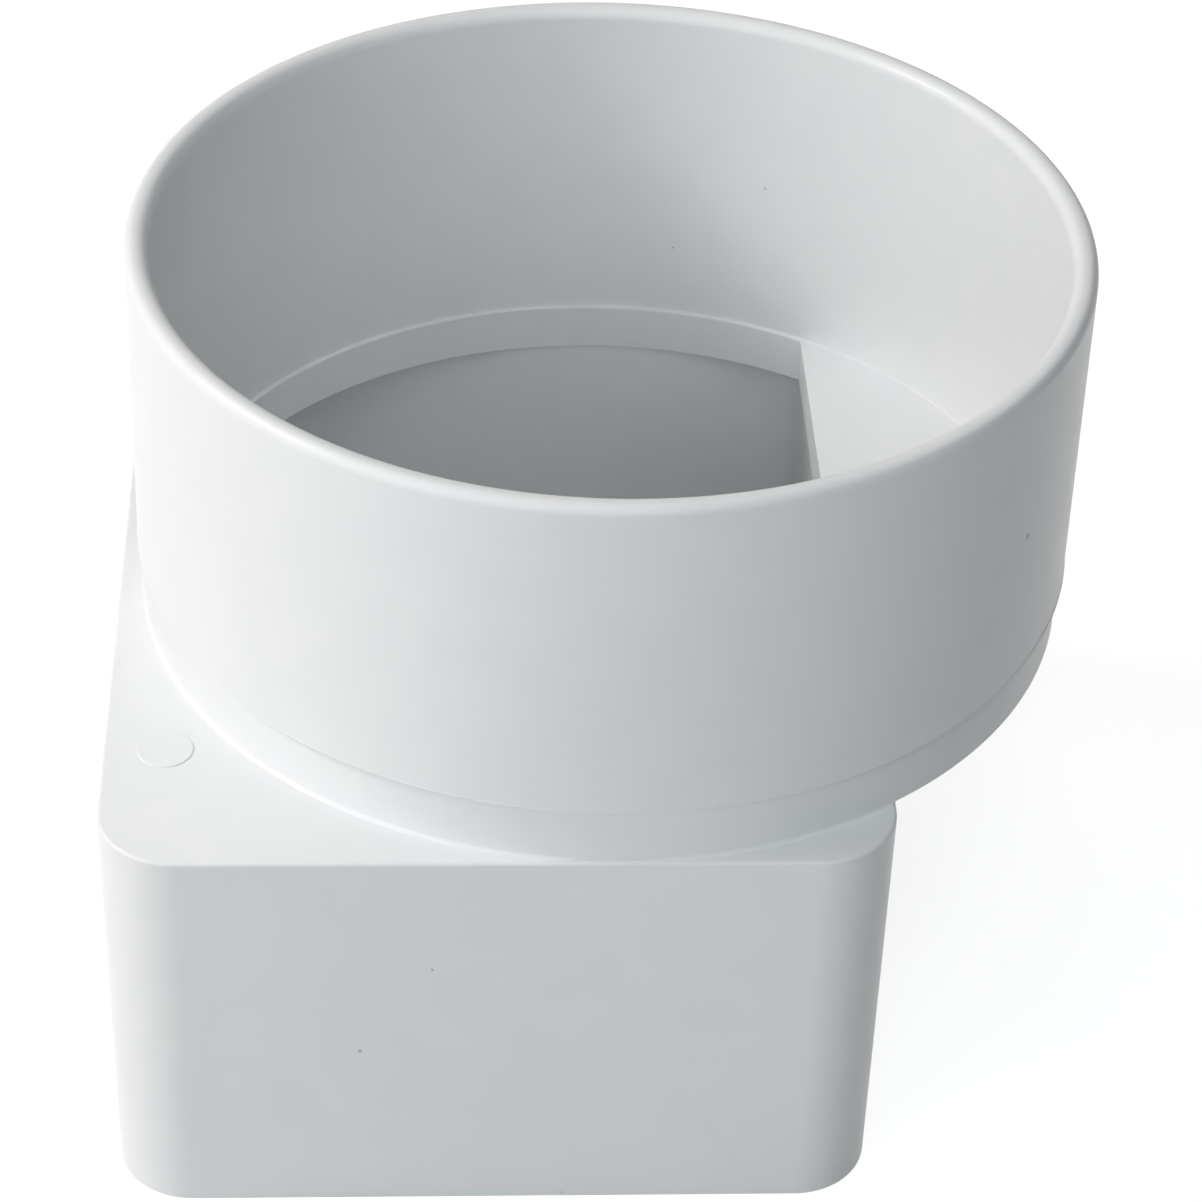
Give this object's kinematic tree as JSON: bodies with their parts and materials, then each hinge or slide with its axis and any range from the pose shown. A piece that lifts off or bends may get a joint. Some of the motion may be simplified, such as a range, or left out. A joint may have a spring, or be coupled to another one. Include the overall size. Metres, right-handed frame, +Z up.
{
  "type": "downspout adapter",
  "caption": "Offset downspout adapter: a round pipe socket with a rounded rim stands over a rectangular downspout socket, joined by a short neck, a ledge and a flat floor.",
  "frame": {"origin": "middle of the whole outline, on the surface that the downspout socket's rim stands on", "axes": "+Z up along the round socket's axis, out of its mouth; +X from the box towards the overhanging side of the hub; the part is mirror-symmetric about the plane Y = 0"},
  "size_m": [0.116, 0.1138, 0.1021],
  "materials": {
    "white_plastic": "smooth moulded white plastic with a soft gloss"
  },
  "bodies": {
    "root": {"adapter_body": "white_plastic"}
  },
  "joints": []
}
